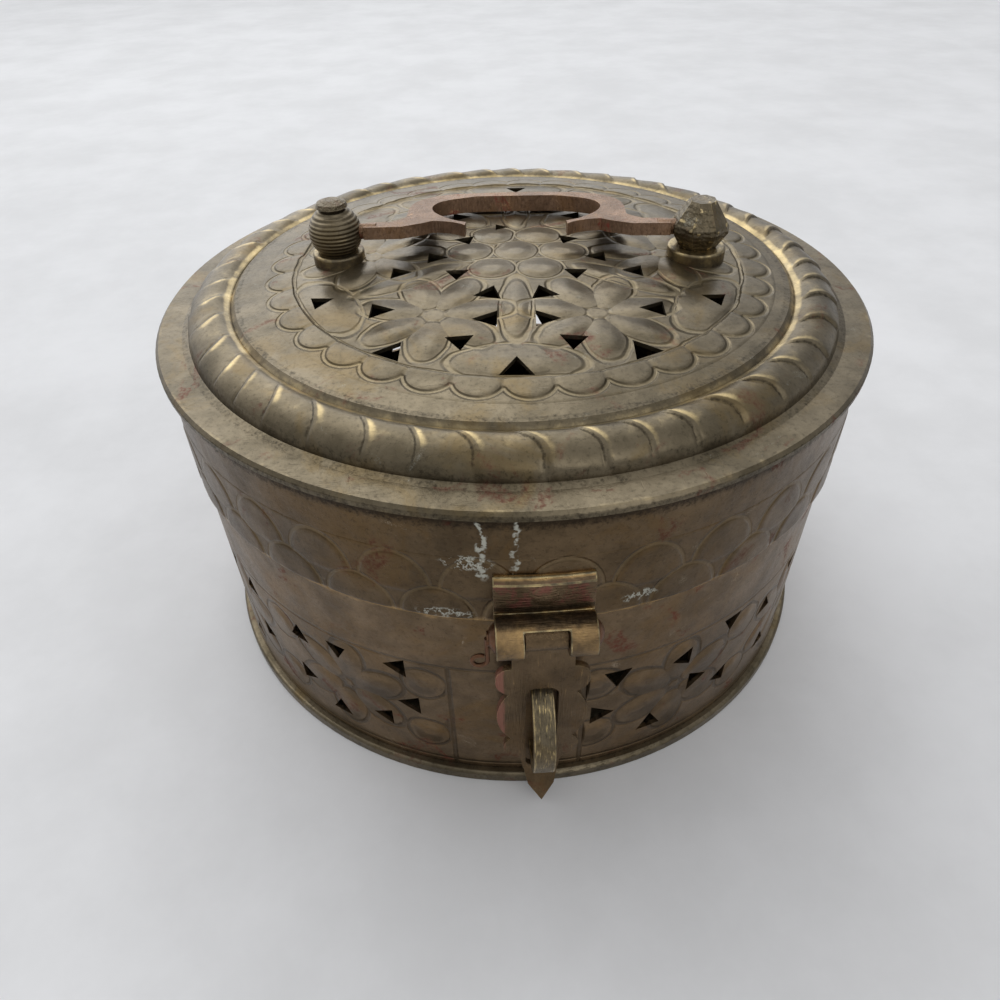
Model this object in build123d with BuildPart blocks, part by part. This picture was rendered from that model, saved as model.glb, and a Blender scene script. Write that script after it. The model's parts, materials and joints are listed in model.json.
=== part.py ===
from build123d import *
from math import asin, cos, radians, sin, sqrt
import os

os.makedirs("parts", exist_ok=True)

# A round pierced brass trinket box. Its origin is the middle of the base on the table,
# the latch faces -Y and the lid's hinge is at +Y. All sizes are in millimetres.

# Base: a sheet tube standing on a floor, with a rolled rim round their joint
body_radius = 88.2
wall_thickness = 1.0
floor_thickness = 1.0
rim_width = 2.0
rim_height = 3.2
rim_round = 0.9
joint_line = 62.2
lid_gap = 0.6

# Strip inside the wall that the lid slides over
neck_thickness = 0.8
neck_above = 6.0
neck_below = 5.0

# Lid: a skirt and a stamped top with a half-round bead about a domed middle
skirt_step = 0.8
skirt_thickness = 1.0
flange_overhang = 1.5
flange_top = 93.0
flange_lip = 1.8
flange_lip_width = 1.0
flange_round = 0.8
sheet = 1.0
flange_width = 6.4
bead_margin = 1.8
bead_width = 11.0
bead_outer_rise = 0.6
bead_inner_rise = 4.6
bead_sagitta = 2.6
plateau_margin = 1.2
plateau_rise = 5.7
dome_rise = 4.4

# The lid's ornament is turned a little from the latch and stands a little to its right
ornament_turn = -4.5
ornament_shift = 1.8

# Bail handle between two posts
post_spacing = 92.0
pivot_height = 7.5
ball_radius = 6.7
collar_height = 2.8
left_collar_radius = 6.6
right_collar_radius = 7.3
collar_round = 0.7
shank_radius = 2.5
knob_radius = 4.0
knob_height = 2.6
facet_radius = 7.3
facet_foot_radius = 4.9
facet_tip_radius = 3.3
facet_band = 1.8
facet_height = 6.6
washer_radius = 5.0
washer_thickness = 1.2
peen_length = 0.6
tenon_radius = 1.9
tenon_length = 5.0
running_fit = 0.05
tab_gap = 0.8
bail_reach = 31.5
bail_tip_thickness = 4.4
bail_tab_thickness = 3.0
bail_bar_width = 4.0
bail_rest_gap = 0.35

# Latch: a bracket on the skirt, its pin, and the hasp that drops over the staple
pin_radius = 1.6
pin_head_radius = 3.1
pin_head_height = 1.6
pin_end_gap = 0.05
barrel_radius = 4.6
barrel_seat_gap = 0.2
bracket_width = 20.4
bracket_leaf_thickness = 2.2
bracket_top = 76.3
bracket_bevel = 1.2
pin_height = 63.4
knuckle_radius = 3.1
knuckle_width = 8.4
knuckle_gap = 0.3
hood_edge_angle = 58.0
hasp_thickness = 1.5
hasp_tail_angle = 30.0
hasp_bend_height = 10.0
slot_width = 7.4
slot_clearance = 1.5
curl_wire_radius = 0.5
curl_radius = 1.6
curl_drop = 7.0

# Staple through the wall, with a plate behind it
staple_width = 5.0
staple_middle = 27.0
staple_half_height = 14.5
staple_reach = 11.5
staple_bar = 3.3
staple_tail = 2.6
backplate_width = 12.0
backplate_margin = 4.0
backplate_thickness = 1.2

# Rear hinge
hinge_width = 30.0
hinge_leaf = 1.5
hinge_stand = 3.2
hinge_knuckle_radius = 2.6
hinge_knuckle_width = 11.6
hinge_pin_radius = 1.25
hinge_end_gap = 0.2
hinge_clear = 0.3
lid_leaf_height = 19.5
base_leaf_height = 16.0
rivet_radius = 1.5
rivet_head_radius = 2.8
rivet_head_height = 1.2
rivet_clinch_radius = 2.5
rivet_clinch_height = 0.8
rivet_seat_gap = 0.06
hinge_rivet_angle = 5.5
bracket_rivet_head_height = 0.5

# Piercings. Each has its place, its size to a corner and the way one corner points.
# The lid's are given for the right half and mirrored, apart from those on the middle.
lid_middle_holes = [
    (0.0, -53.7, 4.4, 90),
    (-4.4, 16.3, 2.4, 0),
    (0.0, 52.0, 3.6, -90),
]
lid_paired_holes = [
    (12.4, -43.3, 3.7, -95),
    (27.3, -46.5, 4.2, 0),
    (6.3, -34.6, 3.9, 0),
    (6.4, -23.2, 4.0, -15),
    (32.0, -29.2, 3.9, 180),
    (47.0, -23.0, 3.5, -80),
    (29.3, -10.8, 3.5, 180),
    (14.6, -12.6, 3.5, -90),
    (20.8, -3.2, 3.5, 180),
    (13.4, 7.6, 3.3, 10),
    (16.0, 25.5, 3.6, -60),
    (26.4, 42.6, 3.0, 20),
    (33.0, 21.0, 2.2, 0),
]

# The wall's are given by angle from the front and height, first the two flowers beside
# the plain panel at the front, then one flower that repeats round the rest of the wall
front_wall_holes = [
    (-41.2, 35.7, 3.7, 90),
    (-32.8, 38.2, 3.4, -90),
    (-21.7, 40.2, 3.8, -60),
    (-20.1, 26.4, 3.9, 180),
    (-25.2, 18.0, 3.5, 60),
    (-34.6, 12.5, 3.6, 90),
    (-41.7, 19.4, 3.6, 0),
    (11.9, 37.4, 4.0, -90),
    (9.4, 23.6, 4.0, 0),
    (18.8, 13.5, 3.9, 90),
    (23.7, 35.4, 3.6, 180),
    (26.8, 23.9, 4.0, 0),
    (33.0, 39.9, 3.5, -90),
    (33.4, 18.0, 3.6, 60),
]
rear_flower_start = 43.0
rear_flower_step = 27.2
rear_flowers = 10
rear_flower_holes = [
    (0.0, 33.6, 3.6, -30),
    (2.6, 16.2, 3.6, 90),
    (9.2, 38.6, 3.6, -90),
    (12.4, 12.8, 3.6, 90),
    (17.6, 37.6, 3.5, 90),
    (19.4, 22.6, 3.7, 0),
]

# Sizes that follow from the ones above
wall_top = joint_line - lid_gap
skirt_bottom = joint_line
skirt_top = flange_top - sheet
skirt_radius = body_radius + skirt_step
flange_radius = skirt_radius + flange_overhang
valley_radius = flange_radius - flange_width
bead_outer_radius = valley_radius - bead_margin
bead_inner_radius = bead_outer_radius - bead_width
plateau_radius = bead_inner_radius - plateau_margin
dome_edge = flange_top + plateau_rise
dome_top = dome_edge + dome_rise
dome_radius = (plateau_radius**2 + dome_rise**2) / (2 * dome_rise)
dome_middle = dome_top - dome_radius
barrel_y = -(skirt_radius + barrel_seat_gap + barrel_radius)
hinge_y = skirt_radius + hinge_stand
hinge_z = joint_line - lid_gap / 2


def dome_height(distance):
    """Height of the lid's domed middle at a distance from its centre."""
    return dome_middle + sqrt(dome_radius**2 - distance**2)


post_seat = dome_height(post_spacing / 2)
pivot_z = post_seat + pivot_height
ball_foot = post_seat + collar_height
bail_drop = asin(
    (pivot_z - bail_tip_thickness / 2 - bail_rest_gap - dome_height(bail_reach)) / bail_reach
)


def wall_plane(angle, radius, height):
    """Plane that faces outwards on a cylinder, by its angle from the front."""
    a = radians(angle)
    origin = (radius * sin(a), -radius * cos(a), height)
    return Plane(origin=origin, x_dir=(cos(a), sin(a), 0), z_dir=(sin(a), -cos(a), 0))


def lid_plane(across, along, height):
    """Level plane on the lid, turned with its ornament."""
    t = radians(ornament_turn)
    x = ornament_shift + across * cos(t) - along * sin(t)
    y = across * sin(t) + along * cos(t)
    return Plane(origin=(x, y, height), x_dir=(cos(t), sin(t), 0), z_dir=(0, 0, 1))


def cap_middle(seat, radius, rise):
    """A point half way along a ball-shaped cap that stands on a seat along X."""
    ball = (radius**2 + rise**2) / (2 * rise)
    half = asin(radius / ball) / 2
    return (seat + rise - ball + ball * cos(half), ball * sin(half))


def add_rivet(angle, height, inside, outside, head_height):
    """A riveted pin along the radius, with a domed head and a clinched end."""
    a = radians(angle)
    outwards = (sin(a), -cos(a), 0)
    side = Plane(origin=(0, 0, height), x_dir=outwards, z_dir=(-cos(a), -sin(a), 0))
    end = inside - rivet_seat_gap - rivet_clinch_height
    with BuildSketch(side) as profile:
        with BuildLine():
            Polyline(
                (outside + head_height, 0),
                (end, 0),
                (end, rivet_clinch_radius),
                (inside - rivet_seat_gap, rivet_clinch_radius),
                (inside - rivet_seat_gap, rivet_radius),
                (outside, rivet_radius),
                (outside, rivet_head_radius),
            )
            ThreePointArc(
                (outside, rivet_head_radius),
                cap_middle(outside, rivet_head_radius, head_height),
                (outside + head_height, 0),
            )
        make_face()
    revolve(profile.sketch, axis=Axis((0, 0, height), outwards))


def rivet_hole(angle, height):
    """Cut the hole of one rivet through what stands at that place."""
    with BuildSketch(wall_plane(angle, body_radius - 6, height)) as profile:
        Circle(rivet_radius)
    extrude(profile.sketch, amount=14, mode=Mode.SUBTRACT)


def curved_leaf(inner, thickness, width, bottom, height, side):
    """A strip bent to a cylinder; side is -1 at the front and 1 at the rear."""
    with BuildSketch(Plane.XY.offset(bottom)) as profile:
        Circle(inner + thickness)
        Circle(inner, mode=Mode.SUBTRACT)
        with Locations((0, side * inner)):
            Rectangle(width, 4 * thickness + width / 4, mode=Mode.INTERSECT)
    extrude(profile.sketch, amount=height)


def rod(radius, start, end, y, z, mode=Mode.ADD):
    """A round bar along X between two places."""
    with BuildSketch(Plane.YZ.offset(min(start, end))) as profile:
        with Locations((y, z)):
            Circle(radius)
    extrude(profile.sketch, amount=abs(end - start), mode=mode)


# Places of the rivets, and of the legs of the staple
base_rivet_height = wall_top - base_leaf_height * 0.64
lid_rivet_height = skirt_bottom + lid_leaf_height * 0.7
bracket_rivet_height = (pin_height + barrel_radius + bracket_top) / 2
leg_heights = [
    staple_middle - staple_half_height + staple_bar / 2,
    staple_middle + staple_half_height - staple_bar / 2,
]
staple_root = body_radius + wall_thickness


def wall_holes():
    """Angle, height, size and turn of every piercing of the wall."""
    places = list(front_wall_holes)
    for flower in range(rear_flowers):
        start = rear_flower_start + flower * rear_flower_step
        for angle, height, size, turn in rear_flower_holes:
            places.append((start + angle, height, size, turn))
    return places


def lid_holes():
    """Place across and along, size and turn of every piercing of the lid."""
    places = list(lid_middle_holes)
    for across, along, size, turn in lid_paired_holes:
        places.append((across, along, size, turn))
        places.append((-across, along, size, 180 - turn))
    return places


# Base
with BuildPart() as base_plate:
    with BuildSketch(Plane.XY):
        Circle(body_radius)
    extrude(amount=floor_thickness)
base_plate.part.label = "base_plate"
export_step(base_plate.part, "parts/base_plate.step")

with BuildPart() as base_rim:
    with BuildSketch(Plane.XY):
        Circle(body_radius + rim_width)
        Circle(body_radius, mode=Mode.SUBTRACT)
    extrude(amount=rim_height)
    outer_edges = base_rim.edges().filter_by(GeomType.CIRCLE).sort_by(SortBy.RADIUS)[-2:]
    fillet(outer_edges.sort_by(Axis.Z)[-1], rim_round)
base_rim.part.label = "base_rim"
export_step(base_rim.part, "parts/base_rim.step")

with BuildPart() as base_wall:
    with BuildSketch(Plane.XY.offset(floor_thickness)):
        Circle(body_radius)
        Circle(body_radius - wall_thickness, mode=Mode.SUBTRACT)
    extrude(amount=wall_top - floor_thickness)
    for angle, height, size, turn in wall_holes():
        with BuildSketch(wall_plane(angle, body_radius + wall_thickness, height)):
            RegularPolygon(size, 3, rotation=turn)
    extrude(amount=-3 * wall_thickness, mode=Mode.SUBTRACT)
    for height in leg_heights:
        with BuildSketch(wall_plane(0, body_radius + wall_thickness, height)):
            Rectangle(staple_width + 2 * running_fit, staple_bar + 2 * running_fit)
    extrude(amount=-3 * wall_thickness, mode=Mode.SUBTRACT)
    rivet_hole(180 - hinge_rivet_angle, base_rivet_height)
    rivet_hole(180 + hinge_rivet_angle, base_rivet_height)
base_wall.part.label = "base_wall"
export_step(base_wall.part, "parts/base_wall.step")

with BuildPart() as neck_ring:
    with BuildSketch(Plane.XY.offset(joint_line - neck_below)):
        Circle(body_radius - wall_thickness)
        Circle(body_radius - wall_thickness - neck_thickness, mode=Mode.SUBTRACT)
    extrude(amount=neck_below + neck_above)
neck_ring.part.label = "neck_ring"
export_step(neck_ring.part, "parts/neck_ring.step")

# Staple: a loop on edge, its two legs clinched over the plate inside
inner_wall_flat = sqrt((body_radius - wall_thickness) ** 2 - (backplate_width / 2) ** 2)
staple_end = inner_wall_flat - backplate_thickness - staple_tail / 2
with BuildPart() as staple:
    with BuildSketch(Plane.YZ.offset(-staple_width / 2)):
        with Locations((-staple_root, staple_middle)):
            Ellipse(staple_reach, staple_half_height)
            Ellipse(staple_reach - staple_bar, staple_half_height - staple_bar, mode=Mode.SUBTRACT)
        with Locations((-staple_root + staple_reach / 2, staple_middle)):
            Rectangle(staple_reach, 2 * staple_half_height, mode=Mode.SUBTRACT)
        for height in leg_heights:
            with Locations((-(staple_root + staple_end) / 2, height)):
                Rectangle(staple_root - staple_end, staple_bar)
    extrude(amount=staple_width)
staple.part.label = "staple"
export_step(staple.part, "parts/staple.step")

with BuildPart() as staple_backplate:
    with BuildSketch(Plane.XZ.offset(inner_wall_flat)):
        with Locations((0, staple_middle)):
            RectangleRounded(backplate_width, 2 * (staple_half_height + backplate_margin), 2)
        for height in leg_heights:
            with Locations((0, height)):
                Rectangle(
                    staple_width + 2 * running_fit,
                    staple_bar + 2 * running_fit,
                    mode=Mode.SUBTRACT,
                )
    extrude(amount=-backplate_thickness)
staple_backplate.part.label = "staple_backplate"
export_step(staple_backplate.part, "parts/staple_backplate.step")



def lower(point):
    """The same point on the underside of the sheet."""
    return (point[0], point[1] - sheet)


# Lid
with BuildPart() as lid_top:
    with BuildSketch(Plane.XZ):
        bead_foot = (bead_outer_radius, flange_top + bead_outer_rise)
        bead_back = (bead_inner_radius, flange_top + bead_inner_rise)
        lean = Vector(bead_foot[1] - bead_back[1], bead_back[0] - bead_foot[0]).normalized()
        bead_crest = (
            (bead_foot[0] + bead_back[0]) / 2 - lean.X * bead_sagitta,
            (bead_foot[1] + bead_back[1]) / 2 - lean.Y * bead_sagitta,
        )
        dome_half = plateau_radius / 2
        with BuildLine():
            ThreePointArc((0, dome_top), (dome_half, dome_height(dome_half)), (plateau_radius, dome_edge))
            Line((plateau_radius, dome_edge), bead_back)
            ThreePointArc(bead_back, bead_crest, bead_foot)
            Polyline(
                bead_foot,
                (valley_radius, flange_top),
                (flange_radius - flange_round, flange_top),
                (flange_radius, flange_top - flange_round),
                (flange_radius, flange_top - flange_lip),
                (flange_radius - flange_lip_width, flange_top - flange_lip),
                (flange_radius - flange_lip_width, flange_top - sheet),
                (valley_radius, flange_top - sheet),
                lower(bead_foot),
            )
            ThreePointArc(lower(bead_foot), lower(bead_crest), lower(bead_back))
            Line(lower(bead_back), (plateau_radius, dome_edge - sheet))
            ThreePointArc(
                (plateau_radius, dome_edge - sheet),
                (dome_half, dome_height(dome_half) - sheet),
                (0, dome_top - sheet),
            )
            Line((0, dome_top - sheet), (0, dome_top))
        make_face()
    revolve(axis=Axis.Z)
    for across, along, size, turn in lid_holes():
        with BuildSketch(lid_plane(across, along, dome_top + sheet)):
            RegularPolygon(size, 3, rotation=turn)
    for side in (-1, 1):
        with BuildSketch(lid_plane(side * post_spacing / 2, 0, dome_top + sheet)):
            Circle(shank_radius)
    extrude(amount=-(dome_rise + 3 * sheet), mode=Mode.SUBTRACT)
lid_top.part.label = "lid_top"
export_step(lid_top.part, "parts/lid_top.step")

with BuildPart() as lid_skirt:
    with BuildSketch(Plane.XY.offset(skirt_bottom)):
        Circle(skirt_radius)
        Circle(skirt_radius - skirt_thickness, mode=Mode.SUBTRACT)
    extrude(amount=skirt_top - skirt_bottom)
    rivet_hole(180 - hinge_rivet_angle, lid_rivet_height)
    rivet_hole(180 + hinge_rivet_angle, lid_rivet_height)
    rivet_hole(0, bracket_rivet_height)
lid_skirt.part.label = "lid_skirt"
export_step(lid_skirt.part, "parts/lid_skirt.step")


# Posts, collars and washers
def shank(side):
    """The pin of a post, from its collar down through the lid to its peened end."""
    top = ball_foot - post_seat
    bottom = -sheet - washer_thickness - peen_length - dome_rise / 8
    with BuildSketch(lid_plane(side * post_spacing / 2, 0, post_seat + bottom)) as profile:
        Circle(shank_radius)
    extrude(profile.sketch, amount=top - bottom)


def bore(side, reach):
    """Blind hole in a post for one tenon of the bail."""
    t = radians(ornament_turn)
    inner = post_spacing / 2 - reach
    start = lid_plane(side * inner, 0, pivot_z).origin
    mouth = Plane(origin=start, x_dir=(0, 0, 1), z_dir=(side * cos(t), side * sin(t), 0))
    depth = reach - (post_spacing / 2 - tenon_end) + running_fit * 8
    with BuildSketch(mouth) as profile:
        Circle(tenon_radius + running_fit)
    extrude(profile.sketch, amount=depth, mode=Mode.SUBTRACT)


tab_end = post_spacing / 2 - ball_radius - tab_gap
tenon_end = tab_end + tenon_length

with BuildPart() as left_post:
    foot_drop = pivot_z - ball_foot
    knob_base = sqrt(ball_radius**2 - knob_radius**2 * 0.9)
    post_middle = lid_plane(-post_spacing / 2, 0, pivot_z).origin
    with BuildSketch(Plane(origin=post_middle, x_dir=(1, 0, 0), z_dir=(0, -1, 0))):
        with BuildLine():
            Polyline(
                (0, -foot_drop),
                (sqrt(ball_radius**2 - foot_drop**2), -foot_drop),
            )
            ThreePointArc(
                (sqrt(ball_radius**2 - foot_drop**2), -foot_drop),
                (ball_radius, 0),
                (knob_radius * sqrt(0.9), knob_base),
            )
            Polyline(
                (knob_radius * sqrt(0.9), knob_base),
                (knob_radius * 0.8, knob_base + knob_height * 0.15),
                (knob_radius, knob_base + knob_height * 0.35),
                (knob_radius * 0.9, knob_base + knob_height * 0.75),
                (knob_radius * 0.45, knob_base + knob_height),
                (0, knob_base + knob_height),
                (0, -foot_drop),
            )
        make_face()
    revolve(axis=Axis(post_middle, (0, 0, 1)))
    shank(-1)
    bore(-1, ball_radius + tab_gap)
left_post.part.label = "left_post"
export_step(left_post.part, "parts/left_post.step")

with BuildPart() as right_post:
    sections = [
        (ball_foot, facet_foot_radius),
        (pivot_z - facet_band / 2, facet_radius),
        (pivot_z + facet_band / 2, facet_radius),
        (pivot_z + facet_height, facet_tip_radius),
    ]
    for height, size in sections:
        with BuildSketch(lid_plane(post_spacing / 2, 0, height)):
            RegularPolygon(size, 8, rotation=22.5)
    loft(ruled=True)
    shank(1)
    bore(1, facet_radius + tab_gap)
right_post.part.label = "right_post"
export_step(right_post.part, "parts/right_post.step")


def collar(side, radius):
    """Ring under a post, its foot shaped to the dome."""
    with BuildSketch(lid_plane(side * post_spacing / 2, 0, post_seat - dome_rise / 4)) as profile:
        Circle(radius)
        Circle(shank_radius, mode=Mode.SUBTRACT)
    extrude(profile.sketch, amount=collar_height + dome_rise / 4)
    with Locations((0, 0, dome_middle)):
        Sphere(dome_radius, mode=Mode.SUBTRACT)


with BuildPart() as left_collar:
    collar(-1, left_collar_radius)
    top_edge = left_collar.edges().filter_by(GeomType.CIRCLE).group_by(Axis.Z)[-1].sort_by(SortBy.RADIUS)[-1]
    fillet(top_edge, collar_round)
left_collar.part.label = "left_collar"
export_step(left_collar.part, "parts/left_collar.step")

with BuildPart() as right_collar:
    collar(1, right_collar_radius)
    top_edge = right_collar.edges().filter_by(GeomType.CIRCLE).group_by(Axis.Z)[-1].sort_by(SortBy.RADIUS)[-1]
    fillet(top_edge, collar_round)
right_collar.part.label = "right_collar"
export_step(right_collar.part, "parts/right_collar.step")

with BuildPart() as post_washers:
    for side in (-1, 1):
        with BuildSketch(lid_plane(side * post_spacing / 2, 0, post_seat - sheet - washer_thickness)):
            Circle(washer_radius)
            Circle(shank_radius, mode=Mode.SUBTRACT)
    extrude(amount=washer_thickness + dome_rise / 4)
    with Locations((0, 0, dome_middle - sheet)):
        Sphere(dome_radius, mode=Mode.INTERSECT)
post_washers.part.label = "post_washers"
export_step(post_washers.part, "parts/post_washers.step")

# Bail handle: one flat casting whose ends curl in to cusps, with a tenon at each end
turn = radians(ornament_turn)
bail_middle = (ornament_shift, 0, pivot_z)
bail_plane = Plane(
    origin=bail_middle,
    x_dir=(cos(turn), sin(turn), 0),
    z_dir=(-sin(turn) * sin(bail_drop), cos(turn) * sin(bail_drop), cos(bail_drop)),
)
bail_side = Plane(origin=bail_middle, x_dir=bail_plane.y_dir, z_dir=bail_plane.x_dir)
grip_reach = bail_reach - bail_bar_width
with BuildPart() as handle:
    with BuildSketch(bail_plane):
        with BuildLine():
            # Back of the arch, from its middle to the tab
            Spline(
                (0, bail_reach),
                (12.0, bail_reach - 0.6),
                (22.5, bail_reach - 3.4),
                (27.6, bail_reach - 9.5),
                (28.8, 14.0),
                (28.6, 7.0),
                tangents=[(1, 0), (0, -1)],
            )
            # Cusp behind the tab, the tab itself and the lobe's front edge
            Polyline(
                (28.6, 7.0),
                (29.8, 5.4),
                (32.0, 3.0),
                (tab_end, 2.4),
                (tab_end, -2.6),
                (29.0, -2.2),
                (24.0, 1.0),
                (21.6, 3.2),
            )
            Spline((21.6, 3.2), (17.6, 2.4), (12.9, -1.4))
            # Cusp tip and the grip opening
            Line((12.9, -1.4), (12.7, 1.6))
            Spline(
                (12.7, 1.6),
                (18.3, 6.4),
                (22.2, 13.4),
                (20.6, grip_reach - 5.4),
                (13.6, grip_reach - 1.2),
                (0, grip_reach),
                tangents=[(1, 0.5), (-1, 0)],
            )
            Line((0, grip_reach), (0, bail_reach))
        make_face()
        mirror(about=Plane.YZ)
    extrude(amount=bail_tip_thickness, both=True)
    with BuildSketch(bail_side):
        with BuildLine():
            Polyline(
                (-4, bail_tab_thickness / 2),
                (4, bail_tab_thickness / 2),
                (bail_reach, bail_tip_thickness / 2),
                (bail_reach, -bail_tip_thickness / 2),
                (4, -bail_tab_thickness / 2),
                (-4, -bail_tab_thickness / 2),
                close=True,
            )
        make_face()
    extrude(amount=post_spacing, both=True, mode=Mode.INTERSECT)
    for side in (-1, 1):
        axis = bail_side.z_dir * side
        with BuildSketch(Plane(origin=bail_middle, z_dir=axis).offset(tab_end - 3)):
            Circle(tenon_radius)
        extrude(amount=tenon_length + 3)
handle.part.label = "handle"
export_step(handle.part, "parts/handle.step")

# Latch
with BuildPart() as hasp_bracket:
    curved_leaf(
        skirt_radius, bracket_leaf_thickness, bracket_width, pin_height, bracket_top - pin_height, -1
    )
    chamfer(
        hasp_bracket.edges().group_by(Axis.Z)[-1].sort_by(Axis.Y)[0],
        length=bracket_bevel,
    )
    rod(barrel_radius, -bracket_width / 2, bracket_width / 2, barrel_y, pin_height)
    rod(pin_radius, -bracket_width, bracket_width, barrel_y, pin_height, Mode.SUBTRACT)
    notch = knuckle_width / 2 + knuckle_gap
    rod(knuckle_radius + knuckle_gap, -notch, notch, barrel_y, pin_height, Mode.SUBTRACT)
    with BuildSketch(Plane.YZ.offset(-notch)):
        with Locations((barrel_y, pin_height)):
            e = radians(hood_edge_angle)
            far = 2 * barrel_radius
            Polygon(
                (0, 0),
                (-far * cos(e), far * sin(e)),
                (-far, 0),
                (-far, -far),
                (far, -far),
                (far, 0),
                align=None,
            )
    extrude(amount=2 * notch, mode=Mode.SUBTRACT)
    rivet_hole(0, bracket_rivet_height)
hasp_bracket.part.label = "hasp_bracket"
export_step(hasp_bracket.part, "parts/hasp_bracket.step")

with BuildPart() as bracket_rivet:
    add_rivet(
        0,
        bracket_rivet_height,
        skirt_radius - skirt_thickness,
        skirt_radius + bracket_leaf_thickness,
        bracket_rivet_head_height,
    )
bracket_rivet.part.label = "bracket_rivet"
export_step(bracket_rivet.part, "parts/bracket_rivet.step")

with BuildPart() as hasp_pin:
    seat = bracket_width / 2 + pin_end_gap
    rod(pin_radius, -seat - pin_head_height, seat, barrel_y, pin_height)
    for side in (-1, 1):
        with BuildSketch(Plane(origin=(0, barrel_y, pin_height), x_dir=(side, 0, 0), z_dir=(0, -side, 0))):
            with BuildLine():
                Polyline(
                    (seat + pin_head_height, 0),
                    (seat, 0),
                    (seat, pin_head_radius),
                )
                ThreePointArc(
                    (seat, pin_head_radius),
                    cap_middle(seat, pin_head_radius, pin_head_height),
                    (seat + pin_head_height, 0),
                )
            make_face()
        revolve(axis=Axis((0, barrel_y, pin_height), (1, 0, 0)))
    # The left end goes on as a wire, bent down and curled
    wire_x = -seat - pin_head_height
    curl_z = pin_height - curl_drop
    with BuildLine(Plane(origin=(wire_x, barrel_y, curl_z), x_dir=(1, 0, 0), z_dir=(0, -1, 0))) as wire:
        Line((0, curl_drop), (0, 0))
        CenterArc((-curl_radius, 0), curl_radius, 0, -300)
    with BuildSketch(Plane(origin=(wire_x, barrel_y, pin_height), z_dir=(0, 0, -1))):
        Circle(curl_wire_radius)
    sweep(path=wire.wires()[0])
hasp_pin.part.label = "hasp_pin"
export_step(hasp_pin.part, "parts/hasp_pin.step")

with BuildPart() as hasp:
    plate_back = -barrel_y - knuckle_radius
    slot_top = staple_middle + staple_half_height + slot_clearance
    slot_bottom = staple_middle - staple_half_height - slot_clearance
    with BuildSketch(Plane.XZ.offset(plate_back)):
        with BuildLine():
            Polyline(
                (0, pin_height),
                (knuckle_width / 2, pin_height),
                (knuckle_width / 2, 56.6),
                (6.6, 56.0),
                (6.8, 50.4),
            )
            ThreePointArc((6.8, 50.4), (9.4, 49.4), (10.3, 46.8))
            ThreePointArc((10.3, 46.8), (9.6, 43.0), (7.6, 41.2))
            ThreePointArc((7.6, 41.2), (10.2, 34.6), (7.2, 23.6))
            ThreePointArc((7.2, 23.6), (8.9, 20.4), (7.3, 16.4))
            Polyline(
                (7.3, 16.4),
                (4.8, 14.6),
                (4.3, hasp_bend_height),
                (0, hasp_bend_height),
                (0, pin_height),
            )
        make_face()
        mirror(about=Plane.YZ)
        with Locations((0, (slot_top + slot_bottom) / 2)):
            RectangleRounded(slot_width, slot_top - slot_bottom, slot_width / 3, mode=Mode.SUBTRACT)
    extrude(amount=hasp_thickness)
    # The tail is bent outwards for the fingertip
    b = radians(hasp_tail_angle)
    tail = Plane(origin=(0, -plate_back, hasp_bend_height), x_dir=(1, 0, 0), z_dir=(0, -cos(b), sin(b)))
    with BuildSketch(tail):
        Polygon((-4.3, 0), (-3.2, -5.0), (0, -9.6), (3.2, -5.0), (4.3, 0), align=None)
    extrude(amount=hasp_thickness)
    rod(knuckle_radius, -knuckle_width / 2, knuckle_width / 2, barrel_y, pin_height)
    rod(pin_radius + running_fit, -knuckle_width, knuckle_width, barrel_y, pin_height, Mode.SUBTRACT)
hasp.part.label = "hasp"
export_step(hasp.part, "parts/hasp.step")

# Rear hinge
hinge_half = hinge_width / 2
knuckle_half = hinge_knuckle_width / 2
cut_half = knuckle_half + hinge_end_gap / 2

with BuildPart() as hinge_base_leaf:
    curved_leaf(
        body_radius, hinge_leaf + skirt_step, hinge_width, wall_top - base_leaf_height, base_leaf_height, 1
    )
    reach = hinge_knuckle_radius + hinge_clear
    rod(reach, -cut_half, cut_half, hinge_y, hinge_z, Mode.SUBTRACT)
    rod(hinge_knuckle_radius, -hinge_half, -cut_half, hinge_y, hinge_z)
    rod(hinge_knuckle_radius, cut_half, hinge_half, hinge_y, hinge_z)
    rod(hinge_pin_radius, -hinge_width, hinge_width, hinge_y, hinge_z, Mode.SUBTRACT)
    rivet_hole(180 - hinge_rivet_angle, base_rivet_height)
    rivet_hole(180 + hinge_rivet_angle, base_rivet_height)
hinge_base_leaf.part.label = "hinge_base_leaf"
export_step(hinge_base_leaf.part, "parts/hinge_base_leaf.step")

with BuildPart() as hinge_lid_leaf:
    curved_leaf(skirt_radius, hinge_leaf, hinge_width, skirt_bottom + lid_gap, lid_leaf_height, 1)
    for start, end in ((-hinge_width, -knuckle_half), (knuckle_half, hinge_width)):
        rod(reach, start, end, hinge_y, hinge_z, Mode.SUBTRACT)
    rod(hinge_knuckle_radius, -knuckle_half, knuckle_half, hinge_y, hinge_z)
    rod(hinge_pin_radius + running_fit, -hinge_width, hinge_width, hinge_y, hinge_z, Mode.SUBTRACT)
    rivet_hole(180 - hinge_rivet_angle, lid_rivet_height)
    rivet_hole(180 + hinge_rivet_angle, lid_rivet_height)
hinge_lid_leaf.part.label = "hinge_lid_leaf"
export_step(hinge_lid_leaf.part, "parts/hinge_lid_leaf.step")

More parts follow.
